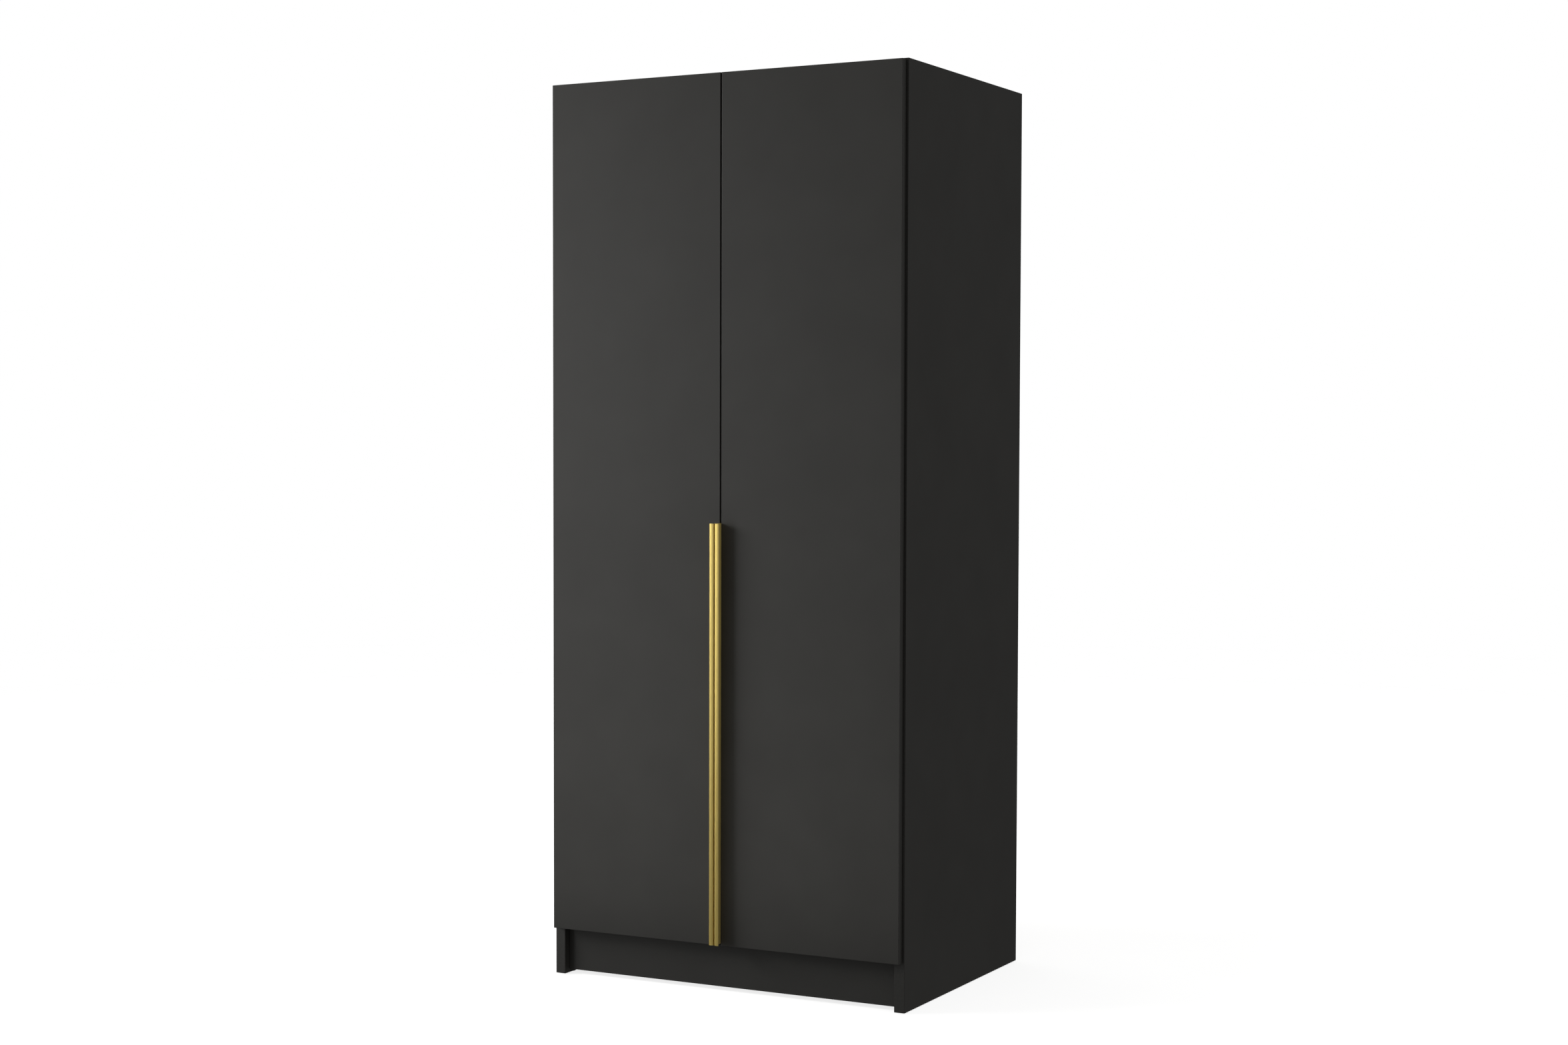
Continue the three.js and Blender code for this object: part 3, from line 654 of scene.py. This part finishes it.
def finish_board(node):
    """A board with melamine on both faces, edge bands, and bare chipboard in its cuts."""
    low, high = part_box(node)
    sizes = high - low
    thin = min(range(3), key=lambda k: sizes[k])
    bm = welded(node)
    mark_edges(bm, BOARD_LEAST_EDGE)
    for face in bm.faces:
        across = max(range(3), key=lambda k: abs(face.normal[k]))
        middle = face.calc_center_median()[across]
        cut = min(middle - low[across], high[across] - middle) > BOARD_FACE_DEPTH
        face.material_index = 2 if cut else int(across != thin)
    melamine = FINISH_OF_SLOT[SLOT_OF_NODE[node]]
    piece = piece_for(node, f"{node}_board", bm, materials=[melamine, BAND, CHIPBOARD])
    round_edges(piece, BOARD_EDGE_RADIUS, 3, "WEIGHT").material = 1


def finish_back():
    """Two sheets of hardboard, lacquered inside and raw behind, and the strip between them."""
    for hand in INWARD:
        bm = welded(f"back_panel_{hand}")
        for face in bm.faces:
            face.material_index = int(face.normal.y > 0.5)
        sheets = [HARDBOARD_INSIDE, HARDBOARD_REAR]
        piece_for(f"back_panel_{hand}", f"{hand}_back_sheet", bm, materials=sheets)
    strip = welded("back_joint_strip")
    piece_for("back_joint_strip", "back_joint_profile", strip, JOINT_STRIP_EDGE_RADIUS)


# ---------------------------------------------------------------- fasteners

def fastener(head_radius, head_height, shank_radius, shank_length, cross):
    """A fastener along Z with its head's seat at zero, and a cross recess if it has one."""
    bm = turned([
        (shank_radius * 0.3, -shank_length),
        (shank_radius, -shank_length * 0.7),
        (shank_radius, 0),
        (head_radius, 0),
        (head_radius, head_height * 0.4),
        (head_radius * 0.93, head_height * 0.75),
        (head_radius * 0.75, head_height * 0.93),
        (head_radius * 0.45, head_height),
    ], steps=32)
    if cross:
        half = cross * 0.19
        floor = head_height - max(head_height * 0.7, cross * 0.5)
        for reach, width in ((cross, half), (half, cross)):
            slot = block((-reach, -width, floor), (reach, width, head_height + 1 * MM))
            bm = combine(bm, slot, "DIFFERENCE")
    return bm


def add_fasteners(name, kind, places, body):
    """One piece with a fastener of this kind at each place."""
    make_piece(name, copies(fastener(*kind), places), [ZINC], body)


def add_cams():
    """Cam fittings that draw the boards together, sunk in their hidden faces."""
    for board in ("top_panel", "bottom_panel"):
        low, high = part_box(board)
        rows = (low.y + CAM_FROM_EDGE, (low.y + high.y) / 2, high.y - CAM_FROM_EDGE)
        ends = (low.x + CAM_FROM_END, high.x - CAM_FROM_END)
        places = [facing((x, y, low.z), -Z_AXIS) for x in ends for y in rows]
        add_fasteners(f"{board}_cam_fittings", CAM, places, "carcass")
    # Each upright board: 1 for cams in its rear face, 0 for cams in its front face.
    for board, rear in (("front_plinth", 1), ("rear_plinth", 0), ("rear_top_rail", 0)):
        low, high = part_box(board)
        level = high.y if rear else low.y
        outwards = Y_AXIS if rear else -Y_AXIS
        middle = (low.z + high.z) / 2
        ends = (low.x + CAM_FROM_END, high.x - CAM_FROM_END)
        places = [facing((x, level, middle), outwards) for x in ends]
        add_fasteners(f"{board}_cam_fittings", CAM, places, "carcass")


def add_back_nails():
    """Nails through the back sheets into the top panel, the top rail and the bottom panel."""
    low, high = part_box("back_panel_right")
    count = int((high.x - 2 * CAM_FROM_END) / NAIL_SPACING)
    columns = [CAM_FROM_END + k * NAIL_SPACING for k in range(count + 1)]
    rows = [sum(corner.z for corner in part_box(board)) / 2
            for board in ("top_panel", "rear_top_rail", "bottom_panel")]
    places = [facing((sign * x, high.y, z), Y_AXIS)
              for z in rows for x in columns for sign in (-1, 1)]
    add_fasteners("back_nails", BACK_NAIL, places, "carcass")


# ---------------------------------------------------------------- pulls

def pull_path(flange_tip, web, lip_tip, front, rear, door_front):
    """The middle line of the profile.

    It runs from a flange behind the door along a web in the door gap, steps aside in front of
    the door, and ends in a crowned front lip.
    """
    half = PULL_WALL / 2
    aside = web + math.copysign(PULL_STEP, lip_tip - web)
    lip = [
        (aside + (lip_tip - aside) * t, front + PULL_CROWN * (2 * t - 1) ** 2, 0)
        for t in (k / 10 for k in range(3, 11))
    ]
    return with_arcs([
        (flange_tip, rear, 0),
        (web, rear, PULL_FLANGE_CORNER - half),
        (web, door_front - half, 0),
        (aside, door_front - half - PULL_STEP, 0),
        (aside, front + PULL_CORNER_SAG, PULL_LIP_CORNER - half),
        *lip,
    ], steps=8, closed=False)


def finish_pull(hand):
    """The gold profile on a door's inner edge, with the screws that hold its flange."""
    node = f"{hand}_pull"
    inward = INWARD[hand]
    low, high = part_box(node)
    inner, outer = (high.x, low.x) if inward > 0 else (low.x, high.x)
    half = PULL_WALL / 2
    path = pull_path(
        flange_tip=outer,
        web=inner - inward * half,
        lip_tip=inner - inward * PULL_LIP,
        front=low.y + half,
        rear=high.y - half,
        door_front=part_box(f"{hand}_door")[0].y,
    )
    bm = prism(thickened(path, half), low.z, high.z)
    piece_for(node, f"{hand}_pull_profile", bm, PULL_EDGE_RADIUS)
    spread = high.z - low.z - 2 * PULL_SCREW_FROM_END
    heights = [low.z + PULL_SCREW_FROM_END + spread * k / (PULL_SCREWS - 1)
               for k in range(PULL_SCREWS)]
    places = [facing(((inner + outer) / 2, high.y, z), Y_AXIS) for z in heights]
    add_fasteners(f"{hand}_pull_screws", PULL_SCREW, places, BODY_OF_NODE[node])


# ---------------------------------------------------------------- hinges

def cup_solid():
    """The pressed cup with its eared flange, and a way out for the arm.

    It lies as in the left door: X inwards, Y up the door, Z out of the door's inner face.
    """
    ear_near = EAR_OFFSET - EAR_RADIUS
    ear_far = EAR_OFFSET + EAR_RADIUS
    near_angle = math.degrees(math.acos(ear_near / CUP_RIM))
    far_angle = math.degrees(math.acos(ear_far / CUP_RIM))
    edge_angle = math.degrees(math.acos(-CUP_BORE / CUP_RIM))
    flange = prism([
        *arc((0, 0), CUP_RIM, -far_angle, far_angle, 16),
        *arc((EAR_OFFSET, EAR_SCREW), EAR_RADIUS, 0, 180, 24),
        *arc((0, 0), CUP_RIM, near_angle, edge_angle, 16),
        *arc((0, 0), CUP_RIM, 360 - edge_angle, 360 - near_angle, 16),
        *arc((EAR_OFFSET, -EAR_SCREW), EAR_RADIUS, 180, 360, 24),
    ], FLANGE_UNDER, FLANGE_TOP)
    bowl = turned(with_arcs([
        (0.2 * MM, CUP_FLOOR, 0),
        (CUP_OUTSIDE, CUP_FLOOR, CUP_CORNER),
        (CUP_OUTSIDE, FLANGE_TOP - 0.1 * MM, 0),
    ], steps=6, closed=False), steps=72)
    inside = turned(with_arcs([
        (0.2 * MM, CUP_FLOOR + CUP_WALL, 0),
        (CUP_OUTSIDE - CUP_WALL, CUP_FLOOR + CUP_WALL, CUP_CORNER - CUP_WALL),
        (CUP_OUTSIDE - CUP_WALL, FLANGE_TOP + 1 * MM, 0),
    ], steps=6, closed=False), steps=72)
    way_out = block(
        (-CUP_RIM - 1 * MM, -SLOT_HALF, CUP_FLOOR + CUP_WALL),
        (-CUP_CENTRE, SLOT_HALF, FLANGE_TOP + 1 * MM),
    )
    cup = combine(bowl, flange, "UNION")
    cup = combine(cup, inside, "DIFFERENCE")
    return combine(cup, way_out, "DIFFERENCE")


def pin_solid():
    """The pin that a cup turns on, with both its ends chamfered."""
    end = PIN_LENGTH / 2
    return turned([
        (PIN_RADIUS - PIN_CHAMFER, -end),
        (PIN_RADIUS, PIN_CHAMFER - end),
        (PIN_RADIUS, end - PIN_CHAMFER),
        (PIN_RADIUS - PIN_CHAMFER, end),
    ], steps=24)


def damper_solid():
    """The soft-close damper in the deep half of a cup, clear of the arm's swing."""
    return prism(with_arcs([
        (DAMPER_NEAR, -DAMPER_HALF, DAMPER_CORNER),
        (DAMPER_FAR, -DAMPER_HALF, DAMPER_CORNER),
        (DAMPER_FAR, DAMPER_HALF, DAMPER_CORNER),
        (DAMPER_NEAR, DAMPER_HALF, DAMPER_CORNER),
    ]), CUP_FLOOR + CUP_WALL, DAMPER_TOP)


def finish_hinges():
    """Cup hinges: cups, pins, dampers and screws on the doors, arms and plates on the sides."""
    cup = cup_solid()
    cup_pattern = bpy.data.meshes.new("cup_pattern")
    cup.to_mesh(cup_pattern)
    cup.free()
    for hand, inward in INWARD.items():
        door = f"{hand}_door"
        joint = next(j for j in frame["joints"] if j["name"] == f"{hand}_door_hinge")
        # The axes of a cup: inwards, up the door, and out of the door's inner face.
        axes = Matrix(((inward, 0, 0, 0), (0, 0, 1, 0), (0, 1, 0, 0), (0, 0, 0, 1)))
        for i in HINGES:
            name = f"{hand}_hinge_{i}"
            low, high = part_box(f"{hand}_hinge_cup_{i}")
            pivot = Vector((*joint["pos_m"][:2], (low.z + high.z) / 2))
            centre = Matrix.Translation(pivot + X_AXIS * inward * CUP_CENTRE) @ axes
            bm = bmesh.new()
            bm.from_mesh(cup_pattern)
            bmesh.ops.transform(bm, matrix=centre, verts=bm.verts)
            piece_for(f"{hand}_hinge_cup_{i}", f"{name}_cup", bm, CUP_EDGE_RADIUS)
            pin = copies(pin_solid(), [Matrix.Translation(pivot)])
            make_piece(f"{name}_pin", pin, [NICKEL], door)
            damper = copies(damper_solid(), [centre])
            piece = make_piece(f"{name}_damper", damper, [GREY], door)
            round_edges(piece, DAMPER_EDGE_RADIUS)
            ears = [centre @ Matrix.Translation((EAR_OFFSET, y, FLANGE_TOP))
                    for y in (-EAR_SCREW, EAR_SCREW)]
            add_fasteners(f"{name}_cup_screws", HINGE_SCREW, ears, door)
            finish_hinge_mounting(hand, i, pivot)


def finish_hinge_mounting(hand, i, pivot):
    """The arm and the plate of one hinge, with two screws in each."""
    name = f"{hand}_hinge_{i}"
    inward = INWARD[hand]
    for part in ("arm", "plate"):
        node = f"{hand}_hinge_{part}_{i}"
        bm = welded(node)
        mark_edges(bm, SHEET_LEAST_EDGE)
        piece = piece_for(node, f"{name}_{part}", bm)
        round_edges(piece, SHEET_EDGE_RADIUS, 2, "WEIGHT")
    low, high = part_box(f"{hand}_hinge_plate_{i}")
    wing_face = (low.x if inward > 0 else high.x) + inward * PLATE_WING
    line = (low.y + high.y) / 2
    wings = [facing((wing_face, line, pivot.z + z), X_AXIS * inward)
             for z in (-PLATE_SCREW, PLATE_SCREW)]
    add_fasteners(f"{name}_plate_screws", HINGE_SCREW, wings, "carcass")
    low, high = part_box(f"{hand}_hinge_arm_{i}")
    arm_face = high.x if inward > 0 else low.x
    along = [facing((arm_face, pivot.y + CHANNEL_START + y, pivot.z), X_AXIS * inward)
             for y in ARM_SCREWS]
    add_fasteners(f"{name}_arm_screws", ARM_SCREW, along, "carcass")


# ---------------------------------------------------------------- small fittings

def finish_rail():
    """The oval clothes rail and the flanged socket that holds each end."""
    low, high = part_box("hanging_rail")
    radius = (high.y - low.y) / 2
    spine = high.z - low.z - 2 * radius
    middle = (low + high) / 2
    half = (high.x - low.x) / 2
    tube = turned([
        (radius, -half), (radius, half), (radius - RAIL_WALL, half), (radius - RAIL_WALL, -half),
    ], spine=spine, steps=64, ring=True)
    # The axes of the rail: back, up and along it.
    along = Matrix(((0, 0, 1, 0), (1, 0, 0, 0), (0, 1, 0, 0), (0, 0, 0, 1)))
    rail = copies(tube, [Matrix.Translation(middle) @ along])
    piece_for("hanging_rail", "oval_hanging_rail", rail, RAIL_EDGE_RADIUS)
    pocket = radius + SEAT_GAP
    sleeve = pocket + SOCKET_WALL
    flange = sleeve + SOCKET_FLANGE
    screw_z = spine / 2 + (sleeve + flange) / 2
    for hand, inward in INWARD.items():
        node = f"{hand}_rail_socket"
        low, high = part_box(node)
        wall = low.x if inward > 0 else high.x
        depth = high.x - low.x
        solid = turned(with_arcs([
            (flange, 0, 0),
            (flange, SOCKET_BASE, 1.2 * MM),
            (sleeve, SOCKET_BASE, 1.2 * MM),
            (sleeve, depth, 0.8 * MM),
            (pocket, depth, 0.5 * MM),
            (pocket, SOCKET_BASE, 0),
        ], steps=5, closed=False), spine=spine, steps=64)
        axes = Matrix(((0, 0, inward, 0), (1, 0, 0, 0), (0, 1, 0, 0), (0, 0, 0, 1)))
        place = Matrix.Translation((wall, middle.y, middle.z)) @ axes
        piece_for(node, f"{hand}_oval_rail_socket", copies(solid, [place]))
        face = wall + inward * SOCKET_BASE
        screws = [facing((face, middle.y, middle.z + z), X_AXIS * inward)
                  for z in (-screw_z, screw_z)]
        add_fasteners(f"{hand}_rail_socket_screws", SOCKET_SCREW, screws, "carcass")


def finish_glide(node, stand):
    """A nailed glide: a round pad on the floor, and a pin up into the side."""
    low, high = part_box(node)
    radius = (high.x - low.x) / 2
    pad_top = stand - SEAT_GAP
    solid = turned(with_arcs([
        (0.5 * MM, 0, 0),
        (radius, 0, 0.7 * MM),
        (radius, pad_top, 0.3 * MM),
        (GLIDE_PIN, pad_top, 0),
        (GLIDE_PIN, high.z, 0.4 * MM),
        (0.2 * MM, high.z, 0),
    ], closed=False))
    place = Matrix.Translation(((low.x + high.x) / 2, (low.y + high.y) / 2, 0))
    piece_for(node, f"{node}_foot", copies(solid, [place]))


def finish_bumper(node):
    """A soft domed pad on the inner face of a door."""
    low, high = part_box(node)
    radius = (high.x - low.x) / 2
    depth = high.y - low.y
    solid = turned(with_arcs([
        (radius, 0, 0),
        (radius, depth * 0.45, 0.3 * MM),
        (radius * 0.8, depth, 0.5 * MM),
        (0.3 * MM, depth, 0),
    ], closed=False))
    place = facing(((low.x + high.x) / 2, low.y, (low.z + high.z) / 2), Y_AXIS)
    piece_for(node, f"{node}_pad", copies(solid, [place]))


def finish_small_parts():
    """Glides under the sides, pads behind the doors, and the pins that carry the shelf."""
    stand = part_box("left_side_panel")[0].z
    for hand in INWARD:
        for end in ("front", "rear"):
            finish_glide(f"{hand}_{end}_glide", stand)
            pin = f"{hand}_{end}_shelf_pin"
            piece_for(pin, f"{pin}_support", welded(pin), SUPPORT_EDGE_RADIUS)
        for level in ("lower", "upper"):
            finish_bumper(f"{hand}_{level}_bumper")


def finish_wall_bracket():
    """The angle bracket against tipping, with two screws in each leaf."""
    low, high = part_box("wall_bracket")
    bm = welded("wall_bracket")
    mark_edges(bm, BRACKET_LEAST_EDGE)
    piece = piece_for("wall_bracket", "anti_tip_bracket", bm)
    round_edges(piece, BRACKET_EDGE_RADIUS, 3, "WEIGHT")
    middle_y = (low.y + high.y - BRACKET_SHEET) / 2
    middle_z = (low.z + high.z - BRACKET_SHEET) / 2
    places = []
    for x in (-BRACKET_SCREW, BRACKET_SCREW):
        places.append(facing((x, middle_y, high.z - BRACKET_SHEET), -Z_AXIS))
        places.append(facing((x, high.y - BRACKET_SHEET, middle_z), -Y_AXIS))
    add_fasteners("anti_tip_bracket_screws", HINGE_SCREW, places, "carcass")


# ---------------------------------------------------------------- studio

def build_camera():
    """The camera, placed from the front of the sides, with its own lens and framing."""
    front_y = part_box("left_side_panel")[0].y
    data = bpy.data.cameras.new("studio_camera")
    data.lens = LENS
    data.sensor_width = SENSOR
    data.sensor_fit = "HORIZONTAL"
    data.shift_x = SHIFT_ACROSS
    data.shift_y = SHIFT_UP
    data.clip_end = 60
    camera = bpy.data.objects.new("studio_camera", data)
    camera.location = (CAMERA_TO_THE_RIGHT, front_y - CAMERA_FROM_FRONT, CAMERA_HEIGHT)
    camera.rotation_euler = (
        math.radians(90 - CAMERA_TILT),
        0,
        math.radians(CAMERA_TURN),
    )
    bpy.context.scene.collection.objects.link(camera)
    bpy.context.scene.camera = camera


def build_lights():
    """Soft boxes that face the wardrobe and stay out of the camera's sight."""
    for name, place, aim, width, height, radiance, shines, mirrored in LIGHTS:
        data = bpy.data.lights.new(name, "AREA")
        data.shape = "RECTANGLE"
        data.size = width
        data.size_y = height
        data.energy = radiance * math.pi * width * height
        light = bpy.data.objects.new(name, data)
        light.location = place
        towards = Vector(aim) - Vector(place)
        light.rotation_euler = towards.to_track_quat("-Z", "Y").to_euler()
        light.visible_camera = False
        light.visible_diffuse = shines
        light.visible_glossy = mirrored
        bpy.context.scene.collection.objects.link(light)


def build_world():
    """Soft surroundings: dim above and below for the wardrobe, and white for the camera."""
    world = bpy.data.worlds.new("studio")
    world.use_nodes = True
    tree = world.node_tree
    direction = add(tree, "ShaderNodeTexCoord").outputs["Generated"]
    height = add(tree, "ShaderNodeSeparateXYZ", {0: direction}).outputs["Z"]
    dim = tree.nodes["Background"]
    dim.inputs["Color"].default_value = linear("#ffffff")
    strength = add(tree, "ShaderNodeMapRange", {
        "Value": height,
        "From Min": -HORIZON_BLUR,
        "From Max": HORIZON_BLUR,
        "To Min": FLOOR_BOUNCE,
        "To Max": ROOM_STRENGTH,
    })
    tree.links.new(strength.outputs[0], dim.inputs["Strength"])
    white = add(tree, "ShaderNodeBackground", {"Color": linear("#ffffff"), "Strength": 1.0})
    mix = add(tree, "ShaderNodeMixShader", {
        0: add(tree, "ShaderNodeLightPath").outputs["Is Camera Ray"],
        1: dim,
        2: white,
    })
    tree.links.new(mix.outputs[0], tree.nodes["World Output"].inputs["Surface"])
    bpy.context.scene.world = world


def build_floor():
    """A white studio floor that fades into the white beyond and throws no light back."""
    bm = bmesh.new()
    bm.faces.new([bm.verts.new((x, y, 0)) for x, y in arc((0, 0), FLOOR_REACH, 0, 360, 96)[:-1]])
    mesh = bpy.data.meshes.new("studio_floor")
    bm.to_mesh(mesh)
    bm.free()
    floor = bpy.data.objects.new("studio_floor", mesh)
    bpy.context.scene.collection.objects.link(floor)
    for ray in ("visible_diffuse", "visible_glossy", "visible_transmission", "visible_shadow"):
        setattr(floor, ray, False)

    material, tree, shader, place = start_material(
        "white_painted_studio_floor", Specular_IOR_Level=0.0)
    speckle = add(tree, "ShaderNodeTexNoise", {
        "Vector": place, "Scale": per_metre(300), "Detail": 2, "Roughness": 0.55,
    })
    dress(tree, shader, colour=(speckle, "#e9e9e8", "#ededec"), roughness=(speckle, 0.85, 0.9))
    glow = add(tree, "ShaderNodeEmission", {"Color": linear("#ffffff"), "Strength": FLOOR_LIFT})
    lit = add(tree, "ShaderNodeAddShader", {0: shader, 1: glow})
    distance = add(tree, "ShaderNodeVectorMath", {0: place}, operation="LENGTH")
    fade = add(tree, "ShaderNodeMapRange", {
        "Value": distance.outputs["Value"],
        "From Min": FLOOR_FADE_START,
        "From Max": FLOOR_FADE_END,
    })
    clear = add(tree, "ShaderNodeBsdfTransparent")
    mix = add(tree, "ShaderNodeMixShader", {0: fade, 1: lit, 2: clear})
    tree.links.new(mix.outputs[0], tree.nodes["Material Output"].inputs["Surface"])
    mesh.materials.append(material)


for board in BOARDS:
    finish_board(board)
finish_back()
for side in INWARD:
    finish_pull(side)
finish_hinges()
finish_rail()
finish_small_parts()
finish_wall_bracket()
add_cams()
add_back_nails()
build_camera()
build_lights()
build_world()
build_floor()
bpy.context.scene.view_settings.view_transform = "Standard"
